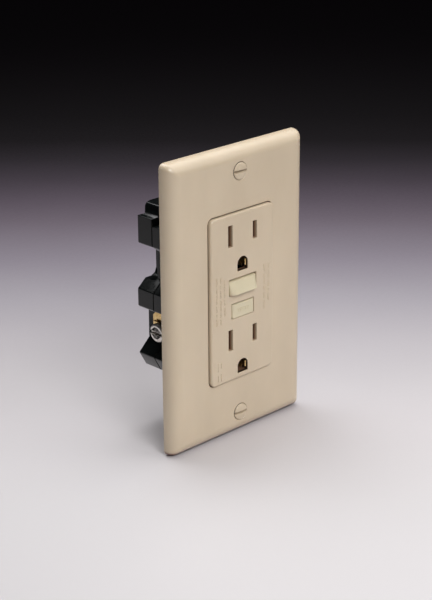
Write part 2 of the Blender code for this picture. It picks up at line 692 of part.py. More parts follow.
def solenoid():
    """The trip coil on its bobbin in a steel frame, with the plunger, its spring and the latch."""
    at = (0.0, SOLENOID_Y)
    spool = [(2.15, 14.3), (5.0, 14.3), (5.0, 15.1), (2.9, 15.1)]
    spool += [(2.9, 29.2), (5.0, 29.2), (5.0, 30.0), (2.15, 30.0)]
    piece("solenoid_bobbin", grey(), turned_ring("Z", at, spool, 18))
    piece("solenoid_coil", copper(), ring("Z", at, 4.6, 3.2, (15.4, 28.9), 20))
    rear = block((-5.0, 5.0), (23.1, 24.0), (13.0, 31.2))
    ends = [block((-5.0, 5.0), (13.6, 24.0), span) for span in ((13.0, 14.0), (30.3, 31.2))]
    piece("solenoid_frame", steel(), rear, add=ends, cut=[rod("Z", at, 2.15, (10.0, 14.2))])
    profile = [(1.2, 3.0), (1.2, 4.3), (3.1, 4.35), (3.1, 5.1), (1.85, 5.15), (1.85, 24.0)]
    piece("solenoid_plunger", steel(), turned("Z", at, profile, 16))
    piece("plunger_spring", steel(), helix("Z", at, 2.6, (5.6, 12.7), 5, 0.2, 8))
    plate = block((-3.2, 3.2), LATCH_Y, (-9.6, 2.7))
    piece("latch_plate", steel(), plate, cut=[block((-1.4, 1.4), (16.0, 21.0), (-8.6, -3.6))])


# The electronics.


def circuit_board():
    """The board that lies along the rear housing, narrow beside the posts and the load notches."""
    inner, front, low, high = NOTCH
    wide, narrow = 13.9, 8.9
    stops = [(-32.2, narrow), (-23.2, narrow), (-23.2, wide), (low - 1.9, wide), (low - 1.9, narrow)]
    stops += [(high + 1.9, narrow), (high + 1.9, wide), (23.2, wide), (23.2, narrow), (31.4, narrow)]
    outline = [(x, z) for z, x in stops] + [(-x, z) for z, x in reversed(stops)]
    piece("circuit_board", laminate(), prism("Y", outline, BOARD_Y))


def sensor():
    """The two sensing cores on their holder."""
    at = (0.0, SENSOR_Z)
    piece("sensor_core_fault", ferrite(), ring("Y", at, 7.2, 3.8, (16.7, 20.0)))
    piece("sensor_core_neutral", ferrite(), ring("Y", at, 7.2, 3.8, (20.4, 23.7)))
    holder = [(2.4, 15.6), (7.2, 15.6), (7.2, 16.4), (3.4, 16.4), (3.4, 23.8), (2.4, 23.8)]
    piece("sensor_core_holder", grey(), turned_ring("Y", at, holder))


def board_parts():
    """What is soldered to the board's front."""
    piece("control_chip", component(), block((2.4, 8.2), (21.4, PART_BACK), (-11.6, -2.4)))
    piece("filter_capacitor", component(), rod("Z", (11.0, 21.0), 2.8, (-9.0, 0.6)))
    piece("surge_varistor", orange_coating(), rod("X", (19.4, -4.4), 4.4, (-13.6, -10.3)))
    piece("trip_thyristor", component(), block((-7.2, -2.9), (20.0, PART_BACK), (-13.2, -9.8)))
    leaf = block((-7.4, 1.8), (13.4, 13.8), (TEST_Z - 1.2, TEST_Z + 1.2))
    leg = block((-8.0, -7.4 + 0.2), (13.4, PART_BACK), (TEST_Z - 1.2, TEST_Z + 1.2))
    piece("test_contact_leaf", brass(), leaf, add=[leg])


def main():
    for obj in list(bpy.data.objects):
        bpy.data.objects.remove(obj)
    wall_plate()
    wall_plate_screw("wall_plate_screw_upper", PLATE_SCREW_Z)
    wall_plate_screw("wall_plate_screw_lower", -PLATE_SCREW_Z)
    face_cover()
    test_button()
    reset_button()
    reset_spring()
    mounting_strap()
    ground_contact("ground_contact_upper", UPPER_Z)
    ground_contact("ground_contact_lower", LOWER_Z)
    mounting_screw("mounting_screw_upper", MOUNT_SCREW_Z)
    mounting_screw("mounting_screw_lower", -MOUNT_SCREW_Z)
    ground_screw()
    middle_housing()
    rear_housing()
    for number, (x, z) in enumerate(HOUSING_SCREWS, 1):
        housing_screw(f"housing_screw_{number}", x, z)
    for pole, side, finish in (("neutral", -1, silver()), ("hot", 1, brass())):
        receptacle_bus(f"receptacle_bus_{pole}", side)
        line_terminal(f"line_terminal_{pole}", side)
        wire_terminal(f"load_{pole}", side, LOAD, finish)
        wire_terminal(f"line_{pole}", side, LINE, finish)
        contact_set(pole, side)
    contact_carriage()
    solenoid()
    circuit_board()
    sensor()
    board_parts()


main()
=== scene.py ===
"""The looks of a ground-fault receptacle with its wall plate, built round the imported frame.

X runs across the face, Y into the wall and Z up. Sizes are in millimetres, and MM turns them into
metres when a mesh is made. Each fine piece stands for one node of the frame and rides on its body.
"""

import json
from math import cos, pi, radians, sin

import bmesh
import bpy
from mathutils import Matrix, Vector

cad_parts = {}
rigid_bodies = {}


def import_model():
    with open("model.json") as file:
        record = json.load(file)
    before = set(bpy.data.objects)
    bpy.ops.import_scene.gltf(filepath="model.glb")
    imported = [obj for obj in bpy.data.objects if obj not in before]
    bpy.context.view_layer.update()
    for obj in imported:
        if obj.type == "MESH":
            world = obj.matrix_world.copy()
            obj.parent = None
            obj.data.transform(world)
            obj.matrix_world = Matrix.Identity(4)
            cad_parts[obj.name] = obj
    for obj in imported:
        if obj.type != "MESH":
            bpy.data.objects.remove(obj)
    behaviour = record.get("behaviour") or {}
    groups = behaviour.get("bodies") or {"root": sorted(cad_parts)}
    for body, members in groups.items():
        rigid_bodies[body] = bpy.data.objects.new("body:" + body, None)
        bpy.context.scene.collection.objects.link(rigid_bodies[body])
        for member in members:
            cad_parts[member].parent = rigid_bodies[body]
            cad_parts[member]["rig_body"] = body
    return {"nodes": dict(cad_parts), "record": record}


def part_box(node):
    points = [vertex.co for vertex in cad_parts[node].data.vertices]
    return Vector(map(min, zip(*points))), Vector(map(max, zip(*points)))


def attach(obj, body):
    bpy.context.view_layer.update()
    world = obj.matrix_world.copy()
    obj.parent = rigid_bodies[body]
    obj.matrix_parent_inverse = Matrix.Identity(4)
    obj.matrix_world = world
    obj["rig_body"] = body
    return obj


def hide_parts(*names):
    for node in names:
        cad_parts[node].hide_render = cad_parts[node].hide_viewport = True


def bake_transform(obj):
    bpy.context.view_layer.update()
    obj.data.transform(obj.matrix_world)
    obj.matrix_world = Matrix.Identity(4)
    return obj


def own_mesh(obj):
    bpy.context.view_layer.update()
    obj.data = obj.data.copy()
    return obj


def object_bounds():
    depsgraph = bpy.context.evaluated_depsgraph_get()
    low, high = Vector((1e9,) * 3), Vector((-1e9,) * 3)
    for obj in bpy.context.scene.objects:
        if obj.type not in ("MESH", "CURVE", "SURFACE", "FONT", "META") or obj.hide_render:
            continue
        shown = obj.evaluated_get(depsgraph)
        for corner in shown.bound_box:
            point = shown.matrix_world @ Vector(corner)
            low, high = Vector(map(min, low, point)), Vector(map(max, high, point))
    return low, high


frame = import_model()
CAD_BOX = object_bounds()
MM = 0.001
FAR = 80.0  # a cutter's reach past anything on the object
SLOT = {part["node"]: part["material_slot"] for part in frame["record"]["subparts"]}

# The plate.
PLATE_W, PLATE_H, PLATE_DEPTH = 69.85, 114.3, 6.0
PLATE_RIM, PLATE_BEVEL, PLATE_CORNER = 0.9, 5.0, 2.2
PLATE_SIDE = 2.4
POCKET_FRONT = -3.6
PLATE_SCREW_Z = 48.4
SCREW_R, HOLE_R = 1.6, 1.9
THREAD = 0.79  # the pitch of every screw on the device

# The face and its buttons.
FACE_W, FACE_H, FACE_CORNER, FACE_EDGE = 32.9, 66.3, 2.1, 0.8
FACE_FRONT, FACE_INNER = -7.3, -4.9
OPENING_GAP = 0.3
FLANGE_X, FLANGE_Z, FLANGE_Y = 20.9, 34.3, (-2.8, 1.4)
BLADE_X, GROUND_DROP, GROUND_R = 6.35, 11.9, 2.75
BLADES_Z = (24.85, -16.5)
TEST_HOLE = (7.25, 1.4, 7.85)  # half width, lowest, highest
RESET_HOLE = (6.0, -8.2, -2.05)
BUTTON_GAP = 0.3
TEST_TIP, RESET_TIP = -9.2, -7.6
TEST_SIDE, TEST_SWELL = -7.0, 2.4
TEST_Z, RESET_Z = 4.85, -5.05
POST_X, POST_Z = 9.2, 23.6
HOUSING_SCREWS = ((-13.2, 29.6), (13.2, 29.6), (-13.2, -29.8), (13.2, -29.8))
MOUNT_SCREW_Z = 41.65

# The raised ticks: how far each is below the one before, and the space between two words.
TICK_STEP, WORD_SPACE = 0.62, 0.7

# Inside.
COIL_Y = 17.9  # the axis of the solenoid, at X = 0
SENSOR_Z = -24.0
LEAF_Y, LEAF_Z = (13.4, 13.7), (3.65, 6.05)

# Colours, dark and light.
IVORY = ((0.610, 0.500, 0.362), (0.655, 0.540, 0.395))
BUTTON = ((0.655, 0.575, 0.400), (0.690, 0.610, 0.430))
ZINC = ((0.52, 0.54, 0.57), (0.70, 0.70, 0.68))
BRASS = ((0.66, 0.44, 0.17), (0.86, 0.64, 0.31))
NICKEL = ((0.64, 0.61, 0.56), (0.82, 0.79, 0.74))
# The colour of the painted shade along the plate's lower edge.
SOLE_SHADE_COLOUR = (0.20, 0.095, 0.075)

# The floor: its colour at each distance behind the plate, painted darker with distance as painted fall-off of
# the light and with a painted purple tint in the mid-tones, and how far faint noise shifts it.
PAPER_PAINTED_FALLOFF = (
    (-60.0, (0.620, 0.596, 0.605)),
    (0.0, (0.600, 0.570, 0.584)),
    (45.0, (0.535, 0.507, 0.522)),
    (88.0, (0.475, 0.446, 0.470)),
    (136.0, (0.384, 0.358, 0.394)),
    (192.0, (0.270, 0.240, 0.283)),
    (255.0, (0.167, 0.137, 0.170)),
    (290.0, (0.118, 0.094, 0.121)),
    (328.0, (0.072, 0.057, 0.074)),
    (368.0, (0.036, 0.029, 0.037)),
    (412.0, (0.014, 0.011, 0.0135)),
    (470.0, (0.010, 0.008, 0.0095)),
)
PAPER_CLOUDS = 12.0


# Materials. Every texture is worked out from the piece's own coordinates, in millimetres.


class Look:
    """A Principled BSDF with helpers for the few textures that all the finishes share."""

    def __init__(self, name, roughness, metallic=0.0, **sockets):
        self.material = bpy.data.materials.new(name)
        self.material.use_nodes = True
        self.tree = self.material.node_tree
        self.shader = self.tree.nodes["Principled BSDF"]
        self.shader.inputs["Metallic"].default_value = metallic
        self.shader.inputs["Roughness"].default_value = roughness
        for socket, value in sockets.items():
            self.shader.inputs[socket.replace("_", " ")].default_value = value
        place = self.tree.nodes.new("ShaderNodeTexCoord")
        self.mapping = self.tree.nodes.new("ShaderNodeMapping")
        self.mapping.inputs["Scale"].default_value = (1 / MM, 1 / MM, 1 / MM)
        self.tree.links.new(place.outputs["Object"], self.mapping.inputs["Vector"])

    def noise(self, scale, detail=3.0, stretch=None):
        """Noise of so many features a millimetre."""
        node = self.tree.nodes.new("ShaderNodeTexNoise")
        node.inputs["Scale"].default_value = scale
        node.inputs["Detail"].default_value = detail
        source = self.mapping
        if stretch:
            source = self.tree.nodes.new("ShaderNodeMapping")
            source.inputs["Scale"].default_value = stretch
            self.tree.links.new(self.mapping.outputs["Vector"], source.inputs["Vector"])
        self.tree.links.new(source.outputs["Vector"], node.inputs["Vector"])
        return node.outputs["Fac"]

    def colour(self, factor, stops):
        """The base colour, from (position, colour) stops along a factor."""
        ramp = self.tree.nodes.new("ShaderNodeValToRGB")
        elements = ramp.color_ramp.elements
        while len(elements) < len(stops):
            elements.new(0.5)
        for element, (position, colour) in zip(elements, stops):
            element.position = position
            element.color = (*colour, 1.0)
        self.tree.links.new(factor, ramp.inputs["Fac"])
        self.tree.links.new(ramp.outputs["Color"], self.shader.inputs["Base Color"])
        self.material.diffuse_color = (*stops[-1][1], 1.0)

    def fade(self, value, start, end):
        """A smooth step from 0 at one value to 1 at another."""
        node = self.tree.nodes.new("ShaderNodeMapRange")
        node.interpolation_type = "SMOOTHSTEP"
        node.inputs["From Min"].default_value = start
        node.inputs["From Max"].default_value = end
        self.tree.links.new(value, node.inputs["Value"])
        return node.outputs["Result"]

    def math(self, operation, one, two=None):
        node = self.tree.nodes.new("ShaderNodeMath")
        node.operation = operation
        for socket, value in zip(node.inputs, (one, two)):
            if isinstance(value, (int, float)):
                socket.default_value = value
            elif value:
                self.tree.links.new(value, socket)
        return node.outputs["Value"]

    def axes(self):
        split = self.tree.nodes.new("ShaderNodeSeparateXYZ")
        self.tree.links.new(self.mapping.outputs["Vector"], split.inputs["Vector"])
        return split.outputs

    def overlay(self, factor, colour):
        """Another colour over the base colour, as much as the factor says."""
        mixed = self.tree.nodes.new("ShaderNodeMix")
        mixed.data_type = "RGBA"
        mixed.inputs[7].default_value = (*colour, 1.0)
        self.tree.links.new(self.shader.inputs["Base Color"].links[0].from_socket, mixed.inputs[6])
        self.tree.links.new(factor, mixed.inputs[0])
        self.tree.links.new(mixed.outputs[2], self.shader.inputs["Base Color"])

    def painted_depth_shade(self, depths, colour, half_width=FAR, above=-1.0, below=FAR):
        """Painted shade: the colour darkened between two depths along Y, within a width and a span of heights,
        where recesses fall into shade.
        """
        across, depth, up = self.axes()
        across, up = self.math("ABSOLUTE", across), self.math("ABSOLUTE", up)
        inside = self.math("LESS_THAN", across, half_width)
        inside = self.math("MULTIPLY", inside, self.math("LESS_THAN", up, below))
        inside = self.math("MULTIPLY", inside, self.math("GREATER_THAN", up, above))
        self.overlay(self.math("MULTIPLY", inside, self.fade(depth, *depths)), colour)

    def roughness(self, factor, low, high):
        spread = self.tree.nodes.new("ShaderNodeMapRange")
        spread.inputs["To Min"].default_value = low
        spread.inputs["To Max"].default_value = high
        self.tree.links.new(factor, spread.inputs["Value"])
        self.tree.links.new(spread.outputs["Result"], self.shader.inputs["Roughness"])

    def bump(self, layers):
        """Stacked bumps, each a height and its depth in millimetres."""
        below = None
        for height, depth in layers:
            node = self.tree.nodes.new("ShaderNodeBump")
            node.inputs["Strength"].default_value = 1.0
            node.inputs["Distance"].default_value = depth * MM
            self.tree.links.new(height, node.inputs["Height"])
            if below:
                self.tree.links.new(below, node.inputs["Normal"])
            below = node.outputs["Normal"]
        self.tree.links.new(below, self.shader.inputs["Normal"])


def satin_nylon(name, dark, light, rough, depth_shades=(), shaded_sole=None):
    """Moulded nylon: faint flow shading, a fine satin grain and a slight glow through the surface.

    The shaded sole is the height from which the colour is painted darker, as painted shade, down to the edge
    it stands on.
    """
    look = Look(name, rough, Subsurface_Weight=0.08, Subsurface_Scale=0.0006, IOR=1.5)
    look.shader.inputs["Coat Weight"].default_value = 0.2
    look.shader.inputs["Coat Roughness"].default_value = 0.3
    look.shader.inputs["Subsurface Radius"].default_value = (1.0, 0.6, 0.35)
    flow = look.noise(0.07, 4.0, (1.0, 1.0, 0.45))
    look.colour(flow, [(0.32, dark), (0.68, light)])
    # Painted shade in recesses and gaps, darker with depth.
    for painted_depth_shade in depth_shades:
        look.painted_depth_shade(*painted_depth_shade)
    # Painted shade along the lower edge, darker towards the edge it stands on.
    if shaded_sole:
        look.overlay(look.fade(look.axes()[2], *shaded_sole), SOLE_SHADE_COLOUR)
    look.roughness(look.noise(0.9, 4.0), rough - 0.05, rough + 0.06)
    look.bump([(look.noise(5.0, 2.0), 0.006), (look.noise(0.25, 1.0), 0.02)])
    return look.material


def glossy_thermoset():
    """The dark housing: glossy, with a faint green cast, sink marks and fine dust."""
    look = Look("glossy_thermoset", 0.2, IOR=1.42)
    look.colour(look.noise(0.5, 5.0), [(0.35, (0.0040, 0.0055, 0.0052)), (0.75, (0.0080, 0.0105, 0.0098))])
    look.roughness(look.noise(1.6, 5.0), 0.08, 0.18)
    look.bump([(look.noise(8.0, 2.0), 0.002), (look.noise(0.22, 1.0), 0.035)])
    return look.material


def grey_thermoplastic():
    look = Look("grey_thermoplastic", 0.45)
    look.colour(look.noise(0.4, 4.0), [(0.3, (0.17, 0.17, 0.18)), (0.7, (0.23, 0.23, 0.24))])
    look.roughness(look.noise(1.2), 0.38, 0.52)
    look.bump([(look.noise(6.0, 2.0), 0.005)])
    return look.material


def plated_metal(name, dark, light, low, high, brushed=(1.0, 1.0, 1.0)):
    """Plated or plain metal: cloudy tone, rolling marks and fine scratches."""
    look = Look(name, low, 1.0)
    look.colour(look.noise(0.35, 5.0), [(0.3, dark), (0.7, light)])
    look.roughness(look.noise(1.4, 4.0, brushed), low, high)
    look.bump([(look.noise(3.0, 3.0, brushed), 0.004), (look.noise(12.0, 1.0), 0.0015)])
    return look.material


def painted_screw():
    look = Look("green_lacquer", 0.3, 0.55, Coat_Weight=0.3, Coat_Roughness=0.2)
    look.colour(look.noise(0.5, 5.0), [(0.3, (0.018, 0.16, 0.06)), (0.7, (0.03, 0.24, 0.10))])
    look.roughness(look.noise(1.8, 4.0), 0.25, 0.42)
    look.bump([(look.noise(4.0, 3.0), 0.006)])
    return look.material


def enamelled_copper():
    look = Look("enamelled_copper", 0.25, 1.0, Coat_Weight=0.5, Coat_Roughness=0.15)
    look.colour(look.noise(0.6, 4.0), [(0.3, (0.48, 0.17, 0.06)), (0.7, (0.66, 0.27, 0.11))])
    look.roughness(look.noise(2.0), 0.2, 0.34)
    look.bump([(look.noise(9.0, 2.0), 0.002)])
    return look.material


def pressed_fibre():
    look = Look("pressed_fibre", 0.8)
    look.colour(look.noise(2.6, 6.0, (1.0, 1.0, 0.3)), [(0.3, (0.44, 0.32, 0.17)), (0.7, (0.62, 0.49, 0.30))])
    look.roughness(look.noise(3.0), 0.7, 0.9)
    look.bump([(look.noise(4.0, 5.0, (1.0, 1.0, 0.3)), 0.03)])
    return look.material


def woven_laminate():
    """Glass-cloth board: two crossed waves under a green resist."""
    look = Look("woven_laminate", 0.42, Coat_Weight=0.4, Coat_Roughness=0.2)
    look.colour(look.noise(1.2, 3.0), [(0.35, (0.02, 0.13, 0.055)), (0.65, (0.04, 0.22, 0.09))])
    look.roughness(look.noise(1.0), 0.34, 0.5)
    layers = []
    for direction in ("X", "Z"):
        wave = look.tree.nodes.new("ShaderNodeTexWave")
        wave.bands_direction = direction
        wave.inputs["Scale"].default_value = 0.6
        look.tree.links.new(look.mapping.outputs["Vector"], wave.inputs["Vector"])
        layers.append((wave.outputs["Fac"], 0.01))
    look.bump(layers)
    return look.material


def moulded_component():
    look = Look("moulded_component", 0.5)
    look.colour(look.noise(3.0, 5.0), [(0.35, (0.020, 0.020, 0.024)), (0.7, (0.045, 0.045, 0.050))])
    look.roughness(look.noise(2.0), 0.42, 0.6)
    look.bump([(look.noise(7.0, 3.0), 0.008)])
    return look.material


def dipped_coating():
    look = Look("dipped_coating", 0.35, Coat_Weight=0.4, Coat_Roughness=0.2)
    look.colour(look.noise(0.8, 4.0), [(0.3, (0.42, 0.15, 0.03)), (0.7, (0.56, 0.24, 0.06))])
    look.roughness(look.noise(1.5), 0.28, 0.42)
    look.bump([(look.noise(1.2, 3.0), 0.04)])
    return look.material


def sintered_core():
    look = Look("sintered_core", 0.6)
    look.colour(look.noise(4.0, 6.0), [(0.35, (0.06, 0.06, 0.065)), (0.7, (0.12, 0.12, 0.13))])
    look.roughness(look.noise(3.0), 0.5, 0.72)
    look.bump([(look.noise(5.0, 4.0), 0.012)])
    return look.material


def painted_head():
    """A plate screw: ivory paint on its head, painted shade in its slot and bare zinc on its shank."""
    look = Look("ivory_paint", 0.3, IOR=1.5)
    look.colour(look.noise(0.6, 4.0), [(0.32, IVORY[0]), (0.68, IVORY[1])])
    look.roughness(look.noise(1.4, 4.0), 0.24, 0.36)
    # Painted shade, darker deep in the slot and under the head.
    look.painted_depth_shade((0.05 - PLATE_DEPTH, 0.6 - PLATE_DEPTH), (0.10, 0.06, 0.035))
    bare = look.fade(look.axes()[1], 1.0 - PLATE_DEPTH, 1.4 - PLATE_DEPTH)
    look.overlay(bare, (0.60, 0.59, 0.57))
    look.tree.links.new(bare, look.shader.inputs["Metallic"])
    look.bump([(look.noise(6.0, 2.0), 0.004)])
    return look.material


def all_looks():
    """The finish of each material slot in the record."""
    return {
        "ivory_plastic": satin_nylon("ivory_nylon", *IVORY, 0.36),
        "button_plastic": satin_nylon("button_nylon", *BUTTON, 0.34),
        "black_housing": glossy_thermoset(),
        "grey_plastic": grey_thermoplastic(),
        "zinc_steel": plated_metal("zinc_plate", *ZINC, 0.24, 0.42, (1, 1, 0.15)),
        "brass": plated_metal("cartridge_brass", *BRASS, 0.2, 0.36, (1, 1, 0.2)),
        "nickel_screw": plated_metal("bright_nickel", *NICKEL, 0.26, 0.42),
        "green_screw": painted_screw(),
        "copper_wire": enamelled_copper(),
        "fibre_board": pressed_fibre(),
        "board_laminate": woven_laminate(),
        "component_body": moulded_component(),
        "varistor_coating": dipped_coating(),
        "sensor_core": sintered_core(),
    }


LOOKS = all_looks()

# Each painted shade, darker in a recess: its two depths, its colour, its half width and the span of heights it
# is kept to.
# Painted shade in the mouth of the plate's opening and round its screw holes.
PLATE_PAINTED_SHADE = (
    ((0.02 - PLATE_DEPTH, 0.45 - PLATE_DEPTH), (0.19, 0.115, 0.072), 17.2, -1.0, 33.9),
    ((0.10 - PLATE_DEPTH, 0.80 - PLATE_DEPTH), (0.16, 0.10, 0.065), 4.0, 44.0, 52.0),
)
# Painted shade in the face's slots and button holes, near black in its ground holes, and in the gap round its
# edge.
FACE_PAINTED_SHADE = (
    ((FACE_FRONT + 0.2, FACE_FRONT + 1.6), (0.34, 0.19, 0.105), 13.0, -1.0, 31.5),
    ((FACE_FRONT + 0.1, FACE_FRONT + 0.7), (0.022, 0.011, 0.006), 3.4, 9.5, 31.5),
    ((0.0 - PLATE_DEPTH, 0.6 - PLATE_DEPTH), (0.19, 0.105, 0.062), 16.9, -1.0, 33.6),
)
# The heights over which the painted shade along the plate's lower edge grows to full.
PLATE_SHADED_SOLE = (2.3 - PLATE_H / 2, 1.0 - PLATE_H / 2)
PLATE_LOOK = satin_nylon("ivory_nylon_plate", *IVORY, 0.31, PLATE_PAINTED_SHADE, PLATE_SHADED_SOLE)
FACE_LOOK = satin_nylon("ivory_nylon_face", *IVORY, 0.36, FACE_PAINTED_SHADE)
SCREW_LOOK = painted_head()


# Shapes. Each returns a bmesh in millimetres.


def closed(bm):
    bmesh.ops.recalc_face_normals(bm, faces=bm.faces)
    return bm


def placed(axis, across, up, along):
    """A point from a 2-D outline and a distance along an axis.

    The outline's pair is (Y, Z) on axis X, (X, Z) on axis Y and (X, Y) on axis Z.
    """
    if axis == "X":
        return Vector((along, across, up))
    if axis == "Y":
        return Vector((across, along, up))
    return Vector((across, up, along))


def loft(axis, sections):
    """Closed outlines of equal length at their distances along an axis, bridged and capped."""
    bm = bmesh.new()
    rings = [[bm.verts.new(placed(axis, a, b, at)) for a, b in outline] for outline, at in sections]
    for low, high in zip(rings, rings[1:]):
        for i, corner in enumerate(low):
            after = (i + 1) % len(low)
            bm.faces.new((corner, low[after], high[after], high[i]))
    bm.faces.new(rings[0])
    bm.faces.new(rings[-1])
    return closed(bm)


def prism(axis, outline, span):
    return loft(axis, [(outline, span[0]), (outline, span[1])])


def block(x, y, z):
    return prism("Y", [(x[0], z[0]), (x[1], z[0]), (x[1], z[1]), (x[0], z[1])], y)


def circle(centre, radius, sides=32, start=0.0):
    angles = [start + 2 * pi * i / sides for i in range(sides)]
    return [(centre[0] + radius * cos(a), centre[1] + radius * sin(a)) for a in angles]


def rod(axis, centre, radius, span, sides=32):
    return prism(axis, circle(centre, radius, sides), span)


def turned(axis, centre, profile, sides=40):
    """A solid of revolution from (radius, distance along the axis) pairs."""
    return loft(axis, [(circle(centre, radius, sides), at) for radius, at in profile])


def rounded(width, height, radius, steps=8, centre=(0.0, 0.0)):
    """The outline of a rectangle with round corners."""
    points = []
    for quarter, (sx, sz) in enumerate(((1, 1), (-1, 1), (-1, -1), (1, -1))):
        for i in range(steps + 1):
            a = pi / 2 * (quarter + i / steps)
            x = centre[0] + sx * (width / 2 - radius) + radius * cos(a)
            points.append((x, centre[1] + sz * (height / 2 - radius) + radius * sin(a)))
    return points


def span_rect(x, z, grow=0.0, corner=0.15):
    """A rectangle's outline from its limits, grown all round, with small round corners."""
    width, height = x[1] - x[0] + 2 * grow, z[1] - z[0] + 2 * grow
    return rounded(width, height, corner + grow, 3, ((x[0] + x[1]) / 2, (z[0] + z[1]) / 2))


def arch(centre_z, radius, steps=20):
    """A ground pin's hole: round at the top, square below."""
    points = [(-radius, centre_z - radius), (radius, centre_z - radius)]
    angles = [pi * i / steps for i in range(steps + 1)]
    return points + [(radius * cos(a), centre_z + radius * sin(a)) for a in angles]


def mouth(outline_at, front, back, radius, steps=4):
    """A cutter along Y whose way in is rounded over, as a moulded edge is."""
    sections = [(outline_at(radius), front - 3.0)]
    for i in range(steps + 1):
        a = pi / 2 * i / steps
        sections.append((outline_at(radius * (1 - sin(a))), front + radius * (1 - cos(a))))
    sections.append((outline_at(0.0), back))
    return loft("Y", sections)


def helix(axis, centre, radius, span, turns, wire, steps=24, sides=8):
    """A wire wound round an axis."""
    bm = bmesh.new()
    count = int(turns * steps)
    length = span[1] - span[0] - 2 * wire
    rings = []
    for i in range(count + 1):
        a = 2 * pi * i / steps
        at = span[0] + wire + length * i / count
        loop = []
        for k in range(sides):
            b = 2 * pi * k / sides
            r = radius + wire * cos(b)
            point = placed(axis, centre[0] + r * cos(a), centre[1] + r * sin(a), at + wire * sin(b))
            loop.append(bm.verts.new(point))
        rings.append(loop)
    for low, high in zip(rings, rings[1:]):
        for k in range(sides):
            after = (k + 1) % sides
            bm.faces.new((low[k], low[after], high[after], high[k]))
    bm.faces.new(rings[0])
    bm.faces.new(rings[-1])
    return closed(bm)


def threaded(axis, centre, radius, span, depth=0.3, sides=28, rows=6):
    """A shank with a right-handed thread that fades out at both ends."""
    hand = -1 if axis == "Y" else 1
    count = int(abs(span[1] - span[0]) / THREAD * rows)
    sections = []
    for i in range(count + 1):
        at = span[0] + (span[1] - span[0]) * i / count
        fade = min(1.0, min(i, count - i) / rows)
        outline = []
        for k in range(sides):
            phase = (at / THREAD - hand * k / sides) % 1.0
            r = radius - depth * (fade * 2 * min(phase, 1 - phase) + (1 - fade))
            a = 2 * pi * k / sides
            outline.append((centre[0] + r * cos(a), centre[1] + r * sin(a)))
        sections.append((outline, at))
    return loft(axis, sections)


def ring(axis, centre, outer, inner, span, round_by=0.3, sides=48):
    """A short tube with its four edges rounded."""
    low, high = sorted(span)
    profile = []
    for r, sr, at, sa, start in (
        (outer, -1, high, -1, 0.0),
        (inner, 1, high, -1, 0.5),
        (inner, 1, low, 1, 1.0),
        (outer, -1, low, 1, 1.5),
    ):
        for i in range(4):
            a = pi * (start + i / 6)
            profile.append((r + sr * round_by + round_by * cos(a), at + sa * round_by + round_by * sin(a)))
    bm = bmesh.new()
    loops = [[bm.verts.new(placed(axis, a, b, at)) for a, b in circle(centre, r, sides)] for r, at in profile]
    for one, two in zip(loops, loops[1:] + loops[:1]):
        for k in range(sides):
            after = (k + 1) % sides
            bm.faces.new((one[k], one[after], two[after], two[k]))
    return closed(bm)


def joined(*shapes):
    """Several closed shapes in one bmesh."""
    whole = bmesh.new()
    for bm in shapes:
        mesh = bpy.data.meshes.new("part")
        bm.to_mesh(mesh)
        bm.free()
        whole.from_mesh(mesh)
        bpy.data.meshes.remove(mesh)
    return whole


def temporary(bm):
    mesh = bpy.data.meshes.new("temporary")
    bm.to_mesh(mesh)
    bm.free()
    obj = bpy.data.objects.new("temporary", mesh)
    bpy.context.scene.collection.objects.link(obj)
    return obj


def carved(base, within=(), add=(), cut=()):
    """A base shape, trimmed to others, joined to more, then cut."""
    obj = temporary(base)
    tools = []
    steps = [("INTERSECT", bm) for bm in within]
    steps += [("UNION", bm) for bm in add]
    steps += [("DIFFERENCE", bm) for bm in cut]
    for operation, bm in steps:
        tool = temporary(bm)
        tools.append(tool)
        modifier = obj.modifiers.new(operation, "BOOLEAN")
        modifier.operation = operation
        modifier.solver = "EXACT"
        modifier.object = tool
    evaluated = obj.evaluated_get(bpy.context.evaluated_depsgraph_get())
    bm = bmesh.new()
    bm.from_mesh(evaluated.to_mesh())
    evaluated.to_mesh_clear()
    for used in (obj, *tools):
        mesh = used.data
        bpy.data.objects.remove(used)
        bpy.data.meshes.remove(mesh)
    return bm


def softened(bm, width, segments=2, angle=35.0):
    """The same solid with its sharp outer edges rounded over."""
    bmesh.ops.remove_doubles(bm, verts=bm.verts, dist=0.002)
    bmesh.ops.dissolve_limit(bm, angle_limit=radians(1.0), verts=bm.verts, edges=bm.edges)
    sharp = [e for e in bm.edges if e.is_manifold and e.is_convex and e.calc_face_angle() > radians(angle)]
    bmesh.ops.bevel(
        bm, geom=sharp, offset=width, offset_type="OFFSET", segments=segments, profile=0.5,
        affect="EDGES", clamp_overlap=False, miter_outer="ARC",
    )
    return bm


def frame_shape(node):
    """A copy of a frame node's solid."""
    bm = bmesh.new()
    bm.from_mesh(frame["nodes"][node].data)
    bmesh.ops.scale(bm, verts=bm.verts, vec=(1 / MM, 1 / MM, 1 / MM))
    bmesh.ops.remove_doubles(bm, verts=bm.verts, dist=0.002)
    return closed(bm)


def shown(name, bm, finish, body, smooth=40.0):
    """A visible piece that rides on a body."""
    mesh = bpy.data.meshes.new(name)
    bmesh.ops.scale(bm, verts=bm.verts, vec=(MM, MM, MM))
    bm.to_mesh(mesh)
    bm.free()
    mesh.materials.append(finish)
    mesh.shade_smooth()
    mesh.set_sharp_from_angle(angle=radians(smooth))
    obj = bpy.data.objects.new(name, mesh)
    bpy.context.scene.collection.objects.link(obj)
    weighted = obj.modifiers.new("weighted_normals", "WEIGHTED_NORMAL")
    weighted.keep_sharp = True
    weighted.weight = 80
    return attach(obj, body)


def fine(node, bm, smooth=40.0, finish=None):
    """A piece that stands for a node of the frame, with its slot's finish unless told otherwise."""
    body = frame["nodes"][node]["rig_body"]
    obj = shown(f"fine_{node}", bm, finish or LOOKS[SLOT[node]], body, smooth)
    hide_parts(node)
    return obj


def extra(name, bm, slot, body="device"):
    """A detail that the frame has no node for."""
    return shown(name, bm, LOOKS[slot], body)


# The wall plate and its screws.


